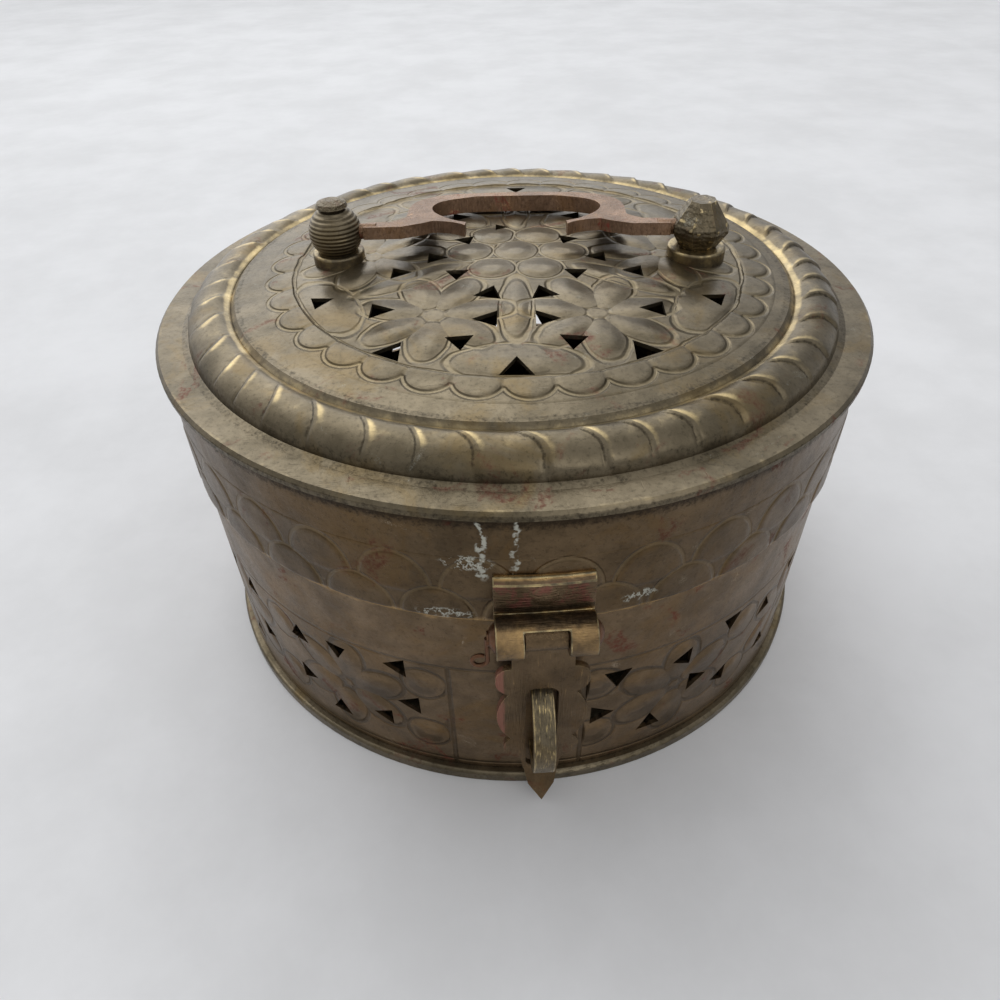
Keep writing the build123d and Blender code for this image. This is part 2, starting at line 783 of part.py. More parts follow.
with BuildPart() as hinge_pin:
    rod(hinge_pin_radius, -hinge_half, hinge_half, hinge_y, hinge_z)
    for side in (-1, 1):
        end = side * (hinge_half + pin_end_gap)
        rod(hinge_pin_radius * 1.7, end, end + side * hinge_pin_radius, hinge_y, hinge_z)
    rod(hinge_pin_radius, -hinge_half - hinge_pin_radius, hinge_half + hinge_pin_radius, hinge_y, hinge_z)
    ends = hinge_pin.edges().filter_by(GeomType.CIRCLE).sort_by(Axis.X)
    fillet([ends[0], ends[-1]], hinge_pin_radius * 0.5)
hinge_pin.part.label = "hinge_pin"
export_step(hinge_pin.part, "parts/hinge_pin.step")

with BuildPart() as hinge_base_rivets:
    for side in (-1, 1):
        add_rivet(
            180 + side * hinge_rivet_angle,
            base_rivet_height,
            body_radius - wall_thickness,
            skirt_radius + hinge_leaf,
            rivet_head_height,
        )
hinge_base_rivets.part.label = "hinge_base_rivets"
export_step(hinge_base_rivets.part, "parts/hinge_base_rivets.step")

with BuildPart() as hinge_lid_rivets:
    for side in (-1, 1):
        add_rivet(
            180 + side * hinge_rivet_angle,
            lid_rivet_height,
            skirt_radius - skirt_thickness,
            skirt_radius + hinge_leaf,
            rivet_head_height,
        )
hinge_lid_rivets.part.label = "hinge_lid_rivets"
export_step(hinge_lid_rivets.part, "parts/hinge_lid_rivets.step")
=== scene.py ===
"""The looks of a round pierced brass trinket box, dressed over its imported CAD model."""

import json
from bisect import bisect
from math import asin, atan2, cos, pi, radians, sin, sqrt

import bmesh
import bpy
from mathutils import Matrix, Vector

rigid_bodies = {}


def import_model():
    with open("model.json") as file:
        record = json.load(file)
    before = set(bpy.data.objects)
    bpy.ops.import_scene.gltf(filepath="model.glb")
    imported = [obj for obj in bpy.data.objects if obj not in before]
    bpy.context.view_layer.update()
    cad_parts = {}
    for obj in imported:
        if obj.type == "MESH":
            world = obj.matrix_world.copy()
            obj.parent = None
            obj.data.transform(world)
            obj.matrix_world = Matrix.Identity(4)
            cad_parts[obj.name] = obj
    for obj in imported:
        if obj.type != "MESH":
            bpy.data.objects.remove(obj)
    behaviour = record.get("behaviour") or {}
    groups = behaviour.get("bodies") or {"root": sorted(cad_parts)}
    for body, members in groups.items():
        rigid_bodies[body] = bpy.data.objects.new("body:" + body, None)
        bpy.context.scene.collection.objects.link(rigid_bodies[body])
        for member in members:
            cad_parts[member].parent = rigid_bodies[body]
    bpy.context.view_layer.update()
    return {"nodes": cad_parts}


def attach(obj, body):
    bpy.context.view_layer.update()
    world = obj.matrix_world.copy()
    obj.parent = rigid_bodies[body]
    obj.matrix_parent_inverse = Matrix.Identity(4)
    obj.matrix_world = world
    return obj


for leftover in list(bpy.data.objects):
    bpy.data.objects.remove(leftover)

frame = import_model()
nodes = frame["nodes"]

MM = 0.001

# Sizes of the lid in millimetres. Its ornament is turned and shifted a little along X
ORNAMENT_TURN = radians(-4.5)
ORNAMENT_SHIFT = 1.8
# Radius and height of the rope bead's two edges, and the rise of its arch
BEAD_INNER = (71.25, 97.62)
BEAD_OUTER = (82.45, 93.55)
BEAD_SAGITTA = 2.62
BEAD_LOBES = 45
# How far a lobe leans, in lobes, and how fast it reaches that across the bead
BEAD_SLANT = 0.62
BEAD_BEND = 1.35
PLATEAU_RADIUS = 70.1
DOME_TOP = 103.1
DOME_RISE = 4.4
SCALLOPS = 35
SCALLOP_CENTRE = 58.2
SCALLOP_RADIUS = 5.7
SKIRT_RADIUS = 89.0
SCALE_PITCH = 2 * pi / 32
# Rows of scales, the lower first: middle angle, half width, foot and height
SCALE_ROWS = (
    (radians(-2.8), 7.9, 62.6, 8.6),
    (radians(-2.8) + SCALE_PITCH / 2, 7.7, 70.6, 9.2),
)

# Colours of the old metal, from its darkest hollow to a rubbed edge; the darkest also paints
# shade, and the rubbed and golden ones also paint highlights
SOOT_AND_SHADE = (0.022, 0.017, 0.011, 1)
OLIVE = (0.105, 0.084, 0.052, 1)
TAN = (0.2, 0.162, 0.105, 1)
BRONZE = (0.17, 0.118, 0.05, 1)
RUBBED_AND_HIGHLIGHT = (0.62, 0.49, 0.27, 1)
GOLDEN_AND_HIGHLIGHT = (0.72, 0.53, 0.22, 1)
OXBLOOD = (0.16, 0.045, 0.032, 1)
COPPER = (0.14, 0.06, 0.03, 1)
VERDIGRIS = (0.5, 0.5, 0.43, 1)


class Graph:
    """Puts nodes into one tree, linking or setting their inputs as they are made."""

    def __init__(self, tree):
        self.tree = tree

    def put(self, kind, **settings):
        node = self.tree.nodes.new(kind)
        for name, value in settings.items():
            setattr(node, name, value)
        return node

    def feed(self, socket, value):
        if isinstance(value, bpy.types.NodeSocket):
            self.tree.links.new(value, socket)
        elif value is not None:
            socket.default_value = value

    def math(self, operation, *values):
        node = self.put("ShaderNodeMath", operation=operation)
        for socket, value in zip(node.inputs, values):
            self.feed(socket, value)
        return node.outputs[0]

    def add(self, a, b):
        return self.math("ADD", a, b)

    def sub(self, a, b):
        return self.math("SUBTRACT", a, b)

    def mul(self, a, b):
        return self.math("MULTIPLY", a, b)

    def div(self, a, b):
        return self.math("DIVIDE", a, b)

    def high(self, a, b):
        return self.math("MAXIMUM", a, b)

    def low(self, a, b):
        return self.math("MINIMUM", a, b)

    def length(self, a, b):
        return self.math("SQRT", self.add(self.mul(a, a), self.mul(b, b)))

    def ramp(self, value, start, end, out_start=0.0, out_end=1.0):
        node = self.put("ShaderNodeMapRange", interpolation_type="SMOOTHSTEP")
        for socket, item in zip(node.inputs, (value, start, end, out_start, out_end)):
            self.feed(socket, item)
        return node.outputs[0]

    def line(self, distance, half_width):
        """1 on a line, falling to 0 at its half width."""
        away = self.math("ABSOLUTE", distance)
        return self.ramp(away, half_width * 0.25, half_width, 1.0, 0.0)

    def split(self, vector):
        node = self.put("ShaderNodeSeparateXYZ")
        self.feed(node.inputs[0], vector)
        return node.outputs[0], node.outputs[1], node.outputs[2]

    def join(self, x, y, z):
        node = self.put("ShaderNodeCombineXYZ")
        for socket, value in zip(node.inputs, (x, y, z)):
            self.feed(socket, value)
        return node.outputs[0]

    def noise(self, vector, scale, detail=4.0, rough=0.55, twist=0.0):
        node = self.put("ShaderNodeTexNoise")
        self.feed(node.inputs["Vector"], vector)
        self.feed(node.inputs["Scale"], scale)
        self.feed(node.inputs["Detail"], detail)
        self.feed(node.inputs["Roughness"], rough)
        self.feed(node.inputs["Distortion"], twist)
        return node.outputs["Fac"]

    def mix(self, factor, a, b):
        node = self.put("ShaderNodeMix", data_type="RGBA")
        self.feed(node.inputs[0], factor)
        self.feed(node.inputs[6], a)
        self.feed(node.inputs[7], b)
        return node.outputs[2]

    def stain(self, color, tint):
        """A colour multiplied by another."""
        node = self.put("ShaderNodeMix", data_type="RGBA", blend_type="MULTIPLY")
        self.feed(node.inputs[0], 1.0)
        self.feed(node.inputs[6], color)
        self.feed(node.inputs[7], (*tint, 1))
        return node.outputs[2]

    def fold(self, angle, step, start=0.0):
        """An angle brought into one sector of a ring, measured from the sector's middle."""
        half = self.add(self.sub(angle, start), step / 2)
        return self.sub(self.math("FLOORED_MODULO", half, step), step / 2)

    def polar(self, radius, angle):
        return (
            self.mul(radius, self.math("COSINE", angle)),
            self.mul(radius, self.math("SINE", angle)),
        )

    def petals(self, x, y, count, reach, length, width, start=0.0):
        """Value 1 on the outline of a ring of petals, less inside and more outside."""
        radius = self.length(x, y)
        angle = self.math("ARCTAN2", y, x)
        along, across = self.polar(radius, self.fold(angle, 2 * pi / count, start))
        return self.length(
            self.div(self.sub(along, reach), length / 2), self.div(across, width / 2)
        )


def new_group(name, inputs, outputs):
    """A shader node group with its sockets; returns it with its graph and both ends."""
    tree = bpy.data.node_groups.new(name, "ShaderNodeTree")
    for label, kind, value in inputs:
        socket = tree.interface.new_socket(label, in_out="INPUT", socket_type=kind)
        if value is not None:
            socket.default_value = value
    for label, kind in outputs:
        tree.interface.new_socket(label, in_out="OUTPUT", socket_type=kind)
    graph = Graph(tree)
    start = graph.put("NodeGroupInput").outputs
    end = graph.put("NodeGroupOutput").inputs
    return tree, graph, start, end


FLOAT, VECTOR, COLOR = "NodeSocketFloat", "NodeSocketVector", "NodeSocketColor"


def build_patina():
    """Old brass: dark hollows, olive and tan skin, rubbed edges, red and green stains; what it is
    given as wear also paints highlights, and what it is given as grime also paints shade.
    """
    tree, g, start, end = new_group(
        "patina",
        [
            ("Place", VECTOR, None),
            ("Wear and highlight", FLOAT, 0.0),
            ("Grime and shade", FLOAT, 0.0),
            ("Warmth", FLOAT, 0.0),
            ("Stains", FLOAT, 0.3),
        ],
        [("Color", COLOR), ("Roughness", FLOAT), ("Height", FLOAT)],
    )
    place = start["Place"]
    broad = g.noise(place, 0.035, 5, 0.6, 0.6)
    cloud = g.noise(place, 0.16, 6, 0.65, 0.3)
    fine = g.noise(place, 1.1, 5, 0.7)
    speck = g.noise(place, 4.5, 3, 0.6)
    skin = g.mix(g.ramp(g.add(g.mul(broad, 0.55), g.mul(cloud, 0.45)), 0.36, 0.66), OLIVE, TAN)
    drift = g.noise(g.join(*[g.add(v, 91.0) for v in g.split(place)]), 0.05, 5, 0.65, 0.9)
    skin = g.mix(g.mul(g.ramp(drift, 0.5, 0.66), 0.55), skin, BRONZE)
    skin = g.mix(g.mul(g.ramp(fine, 0.5, 0.72), 0.4), skin, SOOT_AND_SHADE)
    rubbed_and_highlight = g.mix(start["Warmth"], RUBBED_AND_HIGHLIGHT, GOLDEN_AND_HIGHLIGHT)
    # Rubbed places and painted highlights
    patchy_wear_and_highlight = g.ramp(g.add(start["Wear and highlight"], g.mul(g.sub(cloud, 0.5), 1.1)), 0.3, 0.95)
    skin = g.mix(g.mul(patchy_wear_and_highlight, 0.85), skin, rubbed_and_highlight)
    # Dark hollows and painted shade
    hollow_grime_and_shade = g.ramp(g.add(start["Grime and shade"], g.mul(g.sub(fine, 0.5), 0.9)), 0.35, 0.95)
    skin = g.mix(g.mul(hollow_grime_and_shade, 0.8), skin, SOOT_AND_SHADE)
    red = g.noise(g.join(*[g.add(v, 37.0) for v in g.split(place)]), 0.075, 4, 0.6, 0.8)
    red = g.mul(g.ramp(red, 0.6, 0.68), g.mul(start["Stains"], g.ramp(fine, 0.35, 0.6)))
    skin = g.mix(red, skin, OXBLOOD)
    green = g.noise(g.join(*[g.add(v, -53.0) for v in g.split(place)]), 0.11, 5, 0.7, 0.5)
    green = g.mul(g.ramp(green, 0.63, 0.72), g.mul(start["Stains"], g.ramp(speck, 0.45, 0.6)))
    skin = g.mix(green, skin, VERDIGRIS)
    rough = g.add(0.25, g.mul(fine, 0.24))
    rough = g.add(rough, g.mul(g.high(red, green), 0.35))
    rough = g.sub(rough, g.mul(patchy_wear_and_highlight, 0.1))
    rough = g.add(rough, g.mul(hollow_grime_and_shade, 0.15))
    g.feed(end["Color"], skin)
    g.feed(end["Roughness"], rough)
    g.feed(end["Height"], g.add(g.mul(cloud, 0.5), g.add(g.mul(fine, 0.25), g.mul(speck, 0.08))))
    return tree


def build_scratches():
    """Fine straight scratches in two directions, 1 on a scratch."""
    tree, g, start, end = new_group("scratches", [("Place", VECTOR, None)], [("Lines", FLOAT)])
    x, y, z = g.split(start["Place"])
    first = g.noise(g.join(g.mul(x, 0.12), g.mul(y, 2.2), g.mul(z, 1.7)), 1.4, 2, 0.5)
    second = g.noise(g.join(g.mul(x, 1.9), g.mul(y, 0.15), g.mul(z, 0.5)), 1.6, 2, 0.5)
    g.feed(end["Lines"], g.high(g.ramp(first, 0.66, 0.74), g.ramp(second, 0.68, 0.75)))
    return tree


def build_lid_chasing():
    """The lid's chased rosette and six flowers, and the lines of its scalloped border."""
    tree, g, start, end = new_group(
        "lid_chasing", [("Place", VECTOR, None)], [("Lines", FLOAT), ("Relief", FLOAT)]
    )
    x, y, _ = g.split(start["Place"])
    edge_angle = g.math("ARCTAN2", y, x)
    edge_radius = g.length(x, y)
    wobble = g.mul(g.sub(g.noise(start["Place"], 0.09, 2), 0.5), 2.4)
    x = g.add(x, wobble)
    y = g.sub(y, wobble)
    radius = g.length(x, y)
    angle = g.math("ARCTAN2", y, x)
    # Rosette of seven circles
    along, across = g.polar(radius, g.fold(angle, pi / 3))
    ring = g.length(g.sub(along, 11.8), across)
    rosette = g.low(g.math("ABSOLUTE", g.sub(ring, 5.9)), g.math("ABSOLUTE", g.sub(radius, 5.9)))
    rosette_line = g.mul(g.line(rosette, 0.7), g.ramp(radius, 5.4, 6.0))
    rosette_line = g.mul(rosette_line, g.ramp(radius, 18.6, 18.0))
    boss = g.high(g.ramp(ring, 5.8, 1.5), g.ramp(radius, 5.8, 1.5))
    # Six flowers of seven broad petals
    flower_x = g.sub(along, 37.4)
    heart = g.length(flower_x, across)
    petal = g.petals(flower_x, across, 7, 10.4, 17.6, 9.6, pi)
    petal_line = g.line(g.mul(g.sub(petal, 1.0), 4.4), 0.75)
    swell = g.ramp(petal, 1.02, 0.15)
    bowl = g.ramp(heart, 20.0, 18.0)
    petal_line = g.mul(petal_line, g.mul(bowl, g.ramp(heart, 1.8, 3.2)))
    # A stem leaf between two flowers and a broad leaf at its foot
    leaf_x, leaf_y = g.polar(radius, g.fold(angle, pi / 3, pi / 6))
    stem = g.length(g.div(g.sub(leaf_x, 29.5), 14.5), g.div(leaf_y, 3.9))
    foot = g.length(g.div(g.sub(leaf_x, 51.5), 7.0), g.div(leaf_y, 14.5))
    leaf_line = g.high(
        g.line(g.mul(g.sub(stem, 1.0), 3.9), 0.7), g.line(g.mul(g.sub(foot, 1.0), 7.0), 0.7)
    )
    swell = g.high(swell, g.high(g.ramp(stem, 1.0, 0.2), g.mul(g.ramp(foot, 1.0, 0.2), 0.8)))
    swell = g.mul(swell, g.ramp(radius, 57.0, 55.0))
    # Scalloped border
    sector = 2 * pi / SCALLOPS
    edge_x, edge_y = g.polar(edge_radius, g.fold(edge_angle, sector, sector / 2))
    scallop = g.length(g.sub(edge_x, SCALLOP_CENTRE), edge_y)
    scallop_line = g.line(g.sub(scallop, SCALLOP_RADIUS), 0.8)
    scallop_line = g.mul(scallop_line, g.ramp(edge_radius, 59.5, 60.4))
    border = g.mul(g.line(g.sub(radius, 56.8), 0.7), 0.8)
    lines = g.high(g.high(rosette_line, petal_line), leaf_line)
    lines = g.high(g.mul(lines, g.ramp(radius, 57.2, 56.6)), border)
    lines = g.high(lines, scallop_line)
    g.feed(end["Lines"], lines)
    g.feed(end["Relief"], g.high(boss, swell))
    return tree


def build_skirt_scales():
    """Two rows of overlapping scales round the lid's skirt."""
    tree, g, start, end = new_group(
        "skirt_scales", [("Place", VECTOR, None)], [("Lines", FLOAT), ("Relief", FLOAT)]
    )
    x, y, z = g.split(start["Place"])
    angle = g.math("ARCTAN2", x, g.mul(y, -1.0))
    lower, upper = [
        g.length(
            g.div(g.mul(g.fold(angle, SCALE_PITCH, middle), SKIRT_RADIUS), half_width),
            g.div(g.sub(z, foot), height),
        )
        for middle, half_width, foot, height in SCALE_ROWS
    ]
    lower_line = g.line(g.mul(g.sub(lower, 1.0), 8.0), 0.7)
    upper_line = g.mul(g.line(g.mul(g.sub(upper, 1.0), 8.0), 0.7), g.ramp(lower, 1.0, 1.05))
    upper_line = g.mul(upper_line, g.ramp(z, 69.0, 70.5))
    g.feed(end["Lines"], g.high(lower_line, upper_line))
    g.feed(end["Relief"], g.high(g.ramp(lower, 1.0, 0.8), g.ramp(upper, 1.0, 0.8)))
    return tree


def build_wall_chasing():
    """Chased flowers round the wall's piercings, with the lines that frame them."""
    tree, g, start, end = new_group(
        "wall_chasing", [("Place", VECTOR, None)], [("Lines", FLOAT), ("Relief", FLOAT)]
    )
    x, y, z = g.split(start["Place"])
    wobble = g.mul(g.sub(g.noise(start["Place"], 0.08, 2), 0.5), 2.2)
    angle = g.math("ARCTAN2", x, g.mul(y, -1.0))
    turn = g.math("FLOORED_MODULO", angle, 2 * pi)
    u = g.add(g.mul(g.fold(turn, radians(27.8), radians(22.5)), 88.2), wobble)
    v = g.sub(g.add(z, wobble), 26.0)
    petal = g.petals(u, v, 6, 9.8, 15.6, 10.2, radians(25.0))
    petal_line = g.line(g.mul(g.sub(petal, 1.0), 4.8), 0.75)
    corner = g.length(g.sub(g.math("ABSOLUTE", u), 21.3), g.sub(g.math("ABSOLUTE", v), 10.0))
    corner_line = g.line(g.sub(corner, 5.6), 0.7)
    field = g.mul(g.ramp(z, 5.6, 6.6), g.ramp(z, 43.2, 42.4))
    from_panel = g.math("ABSOLUTE", g.add(angle, radians(3.45)))
    field = g.mul(field, g.ramp(from_panel, radians(10.4), radians(11.0)))
    flowers = g.mul(g.high(petal_line, corner_line), field)
    band = g.mul(g.line(g.sub(z, 43.6), 0.7), 0.6)
    foot = g.line(g.sub(z, 5.4), 0.6)
    edge = g.line(g.mul(g.sub(from_panel, radians(10.25)), 87.0), 0.8)
    edge = g.mul(edge, g.ramp(z, 43.6, 43.3))
    g.feed(end["Lines"], g.high(g.high(flowers, band), g.high(foot, edge)))
    swell = g.high(g.ramp(petal, 1.0, 0.15), g.ramp(corner, 5.0, 1.0))
    g.feed(end["Relief"], g.mul(swell, field))
    return tree


PATINA = build_patina()
SCRATCHES = build_scratches()
LID_CHASING = build_lid_chasing()
SKIRT_SCALES = build_skirt_scales()
WALL_CHASING = build_wall_chasing()


def millimetres(g, turn=0.0, shift=0.0):
    """Object coordinates in millimetres, shifted along X and turned about the box's axis."""
    coordinates = g.put("ShaderNodeTexCoord").outputs["Object"]
    mapping = g.put("ShaderNodeMapping")
    g.feed(mapping.inputs["Vector"], coordinates)
    mapping.inputs["Location"].default_value = (-shift * cos(turn), -shift * sin(turn), 0)
    mapping.inputs["Rotation"].default_value = (0, 0, turn)
    mapping.inputs["Scale"].default_value = (1000, 1000, 1000)
    return mapping.outputs["Vector"]


def brass(name, surface, metal=0.9, depth=0.35, tint=None):
    """A brass material; surface gives its wear and painted highlights, its grime and painted
    shade, warmth, stains, lines and relief.
    """
    material = bpy.data.materials.new(name)
    material.use_nodes = True
    tree = material.node_tree
    tree.nodes.clear()
    g = Graph(tree)
    place = millimetres(g)
    look = surface(g, place)
    patina = g.put("ShaderNodeGroup", node_tree=PATINA)
    g.feed(patina.inputs["Place"], place)
    for label in ("Wear and highlight", "Grime and shade", "Warmth", "Stains"):
        if label in look:
            g.feed(patina.inputs[label], look[label])
    scratches = g.put("ShaderNodeGroup", node_tree=SCRATCHES)
    g.feed(scratches.inputs["Place"], place)
    color = g.mix(g.mul(scratches.outputs["Lines"], 0.25), patina.outputs["Color"], TAN)
    if tint is not None:
        color = g.stain(color, tint)
    if "Lines" in look:
        line_color, share = look.get("Line color", (RUBBED_AND_HIGHLIGHT, 0.1))
        color = g.mix(g.mul(look["Lines"], share), color, line_color)
    if "Paint" in look:
        color = g.mix(look["Paint"], color, look["Paint color"])
    height = g.mul(patina.outputs["Height"], look.get("Rough skin", 0.3))
    height = g.sub(height, g.mul(scratches.outputs["Lines"], 0.04))
    if "Relief" in look:
        height = g.add(height, look["Relief"])
    bump = g.put("ShaderNodeBump")
    bump.inputs["Strength"].default_value = 1.0
    bump.inputs["Distance"].default_value = depth * MM
    g.feed(bump.inputs["Height"], height)
    shader = g.put("ShaderNodeBsdfPrincipled")
    shader.inputs["Metallic"].default_value = metal
    g.feed(shader.inputs["Base Color"], color)
    g.feed(shader.inputs["Roughness"], patina.outputs["Roughness"])
    g.feed(shader.inputs["Normal"], bump.outputs["Normal"])
    output = g.put("ShaderNodeOutputMaterial")
    g.feed(output.inputs["Surface"], shader.outputs["BSDF"])
    return material


def lid_surface(g, place):
    """The lid's flange, valley and domed middle with its chased flowers, a painted highlight
    along the lip and painted shade on the rim's outer face.
    """
    chasing = g.put("ShaderNodeGroup", node_tree=LID_CHASING)
    g.feed(chasing.inputs["Place"], millimetres(g, -ORNAMENT_TURN, ORNAMENT_SHIFT))
    x, y, z = g.split(place)
    radius = g.length(x, y)
    # The lip is rubbed and carries a painted highlight line; the rim's outer face below it is
    # darkened as painted shade
    lip_rub_and_highlight = g.line(g.sub(radius, 89.5), 1.0)
    rim_face_shade = g.mul(g.ramp(radius, 90.1, 90.4), 0.65)
    ridge = g.mul(g.ramp(radius, 69.5, 71.0), g.ramp(radius, 74.0, 72.0))
    valley = g.line(g.sub(radius, 83.4), 1.8)
    crevice = g.mul(g.line(g.sub(radius, 69.4), 1.6), 0.55)
    top = g.ramp(z, 90.0, 92.5)
    relief = g.sub(g.mul(chasing.outputs["Relief"], 1.5), g.mul(chasing.outputs["Lines"], 0.6))
    dents = g.noise(place, 0.05, 2)
    return {
        "Wear and highlight": g.add(
            g.add(g.mul(lip_rub_and_highlight, 0.3), g.mul(ridge, 0.45)), g.mul(chasing.outputs["Relief"], 0.12)
        ),
        "Grime and shade": g.add(g.mul(g.add(g.mul(valley, 0.5), crevice), top), rim_face_shade),
        "Warmth": 0.3,
        "Stains": 0.5,
        "Lines": chasing.outputs["Lines"],
        "Relief": g.add(relief, g.mul(dents, 0.9)),
    }


def bead_surface(g, place):
    """The rope bead, rubbed along its crest and dark between its lobes, with painted highlights
    on its inner slope and on one side of each lobe.
    """
    x, y, _ = g.split(place)
    radius = g.length(x, y)
    angle = g.math("ARCTAN2", y, x)
    share = g.div(g.sub(radius, BEAD_INNER[0]), BEAD_OUTER[0] - BEAD_INNER[0])
    bend = g.low(1.0, g.high(0.0, g.mul(share, BEAD_BEND)))
    slant = g.mul(g.math("SINE", g.mul(bend, pi / 2)), BEAD_SLANT)
    phase = g.sub(g.mul(angle, BEAD_LOBES / (2 * pi)), slant)
    wander = g.mul(g.math("SINE", g.mul(angle, 5.0)), 0.12)
    wander = g.add(wander, g.mul(g.math("SINE", g.add(g.mul(angle, 11.0), 2.0)), 0.1))
    turn = g.math("FLOORED_MODULO", g.add(phase, wander), 1.0)
    body = g.mul(g.ramp(share, 0.1, 0.25), g.ramp(share, 0.97, 0.85))
    groove = g.mul(g.high(g.ramp(turn, 0.07, 0.0), g.ramp(turn, 0.93, 1.0)), body)
    # Painted highlight along the lit side of each lobe, next to its groove
    brink_highlight = g.mul(g.mul(g.ramp(turn, 0.06, 0.12), g.ramp(turn, 0.3, 0.14)), body)
    crest = g.mul(g.ramp(radius, 72.6, 75.0), g.ramp(radius, 80.0, 77.0))
    # Painted highlight on the bead's inner slope
    inner = g.mul(g.ramp(radius, 70.8, 71.6), g.ramp(radius, 73.6, 72.4))
    return {
        "Wear and highlight": g.add(g.add(g.mul(crest, 0.3), g.mul(brink_highlight, 0.35)), g.mul(inner, 0.6)),
        "Grime and shade": g.high(g.mul(g.ramp(radius, 80.6, 82.2), 0.5), g.mul(groove, 0.75)),
        "Warmth": 0.4,
        "Stains": 0.35,
        "Rough skin": 0.45,
    }


def skirt_surface(g, place):
    """The lid's skirt with its rows of scales, the crusted seam over the latch, a painted shadow
    under the flange and a painted highlight on its rubbed foot.
    """
    scales = g.put("ShaderNodeGroup", node_tree=SKIRT_SCALES)
    g.feed(scales.inputs["Place"], place)
    x, y, z = g.split(place)
    sway = g.mul(g.sub(g.noise(place, 0.25, 4, 0.6), 0.5), 5.0)
    swayed = g.add(x, sway)
    streak = g.high(g.line(g.add(swayed, 12.0), 0.8), g.line(g.add(swayed, 5.6), 0.8))
    streak = g.mul(streak, g.ramp(z, 74.0, 76.0))
    thread = g.line(g.sub(g.noise(place, 0.35, 5, 0.7), 0.5), 0.04)
    left_drip = g.length(g.div(g.add(x, 20.0), 7.0), g.div(g.sub(z, 64.0), 2.2))
    right_drip = g.length(g.div(g.sub(x, 20.0), 4.5), g.div(g.sub(z, 66.0), 1.8))
    top_drip = g.length(g.div(g.add(x, 15.0), 6.0), g.div(g.sub(z, 79.0), 2.2))
    drips = g.ramp(g.low(left_drip, g.low(right_drip, top_drip)), 1.0, 0.6)
    seam = g.high(g.mul(streak, g.ramp(g.noise(place, 0.8, 3), 0.42, 0.56)), g.mul(drips, thread))
    seam = g.mul(seam, g.ramp(y, -60.0, -80.0))
    # The foot is rubbed and carries a painted highlight line
    foot = g.ramp(z, 64.0, 62.4)
    ripples = g.noise(place, 0.07, 2)
    return {
        "Wear and highlight": g.add(g.mul(foot, 0.6), g.mul(scales.outputs["Relief"], 0.1)),
        # Painted shadow cast by the flange's lip over the top of the skirt
        "Grime and shade": g.ramp(z, 85.0, 90.5),
        "Warmth": 0.4,
        "Stains": 0.55,
        "Lines": scales.outputs["Lines"],
        "Line color": (RUBBED_AND_HIGHLIGHT, 0.05),
        "Relief": g.add(
            g.sub(g.mul(scales.outputs["Relief"], 0.1), g.mul(scales.outputs["Lines"], 0.3)),
            g.mul(ripples, 1.6),
        ),
        "Paint": g.mul(seam, 0.85),
        "Paint color": VERDIGRIS,
    }


def wall_surface(g, place):
    """The pierced wall: chased flowers, framing lines, a rubbed top edge, darkening towards the
    bottom and a painted shadow line under the lid's skirt.
    """
    chasing = g.put("ShaderNodeGroup", node_tree=WALL_CHASING)
    g.feed(chasing.inputs["Place"], place)
    _, _, z = g.split(place)
    top = g.ramp(z, 59.6, 60.8)
    # Darker towards the bottom, and a painted shadow line at the top where the lid's skirt
    # overhangs the wall
    foot = g.high(g.ramp(z, 6.0, 2.6), g.ramp(z, 61.0, 61.7))
    ripples = g.noise(place, 0.07, 2)
    return {
        "Wear and highlight": g.add(g.mul(top, 0.35), g.mul(chasing.outputs["Relief"], 0.14)),
        "Grime and shade": g.mul(foot, 0.8),
        "Warmth": 0.5,
        "Stains": 0.7,
        "Lines": chasing.outputs["Lines"],
        "Line color": (SOOT_AND_SHADE, 0.45),
        "Relief": g.add(
            g.sub(g.mul(chasing.outputs["Relief"], 1.8), g.mul(chasing.outputs["Lines"], 0.5)),
            g.mul(ripples, 1.6),
        ),
    }


def plate_surface(g, place):
    """The base with its rolled rim."""
    x, y, z = g.split(place)
    radius = g.length(x, y)
    roll = g.mul(g.ramp(radius, 88.8, 90.0), g.ramp(z, 1.2, 2.4))
    return {"Wear and highlight": g.mul(roll, 0.2), "Grime and shade": 0.4, "Warmth": 0.4, "Stains": 0.4}


def plain_surface(wear, grime, warmth, stains):
    """A surface with the same wear and dirt all over."""

    def surface(g, place):
        return {
            "Wear and highlight": g.mul(g.noise(place, 0.4, 3), wear),
            "Grime and shade": grime,
            "Warmth": warmth,
            "Stains": stains,
            "Rough skin": 0.5,
        }

    return surface


def copper_surface(g, place):
    """The reddish pins, dulled to brown."""
    grain = g.noise(place, 0.8, 4, 0.7)
    return {
        "Grime and shade": 0.2,
        "Warmth": 0.5,
        "Stains": 0.1,
        "Paint": g.ramp(grain, 0.3, 0.6, 0.6, 0.95),
        "Paint color": COPPER,
    }


def turned_surface(g, place):
    """The round post: fine lathe rings and a knurled crown."""
    _, _, z = g.split(place)
    rings = g.math("SINE", g.mul(z, 6.5))
    crown = g.ramp(z, 114.4, 115.2)
    knurl = g.noise(place, 1.6, 2)
    rings = g.mul(rings, g.sub(1.0, crown))
    return {
        "Wear and highlight": g.add(0.16, g.mul(rings, 0.12)),
        "Grime and shade": g.add(0.15, g.mul(rings, -0.16)),
        "Warmth": 0.25,
        "Stains": 0.2,
        "Relief": g.add(g.mul(rings, 0.28), g.mul(g.mul(crown, knurl), 2.2)),
    }


def faceted_surface(g, place):
    """The faceted post, hammered on its faces and filed round."""
    _, _, z = g.split(place)
    hammer = g.noise(place, 0.55, 2)
    files = g.math("SINE", g.add(g.mul(z, 5.2), g.mul(hammer, 6.0)))
    return {
        "Wear and highlight": g.ramp(hammer, 0.5, 0.75),
        "Grime and shade": 0.3,
        "Warmth": 0.2,
        "Stains": 0.5,
        "Relief": g.add(g.mul(hammer, 1.0), g.mul(files, 0.07)),
    }


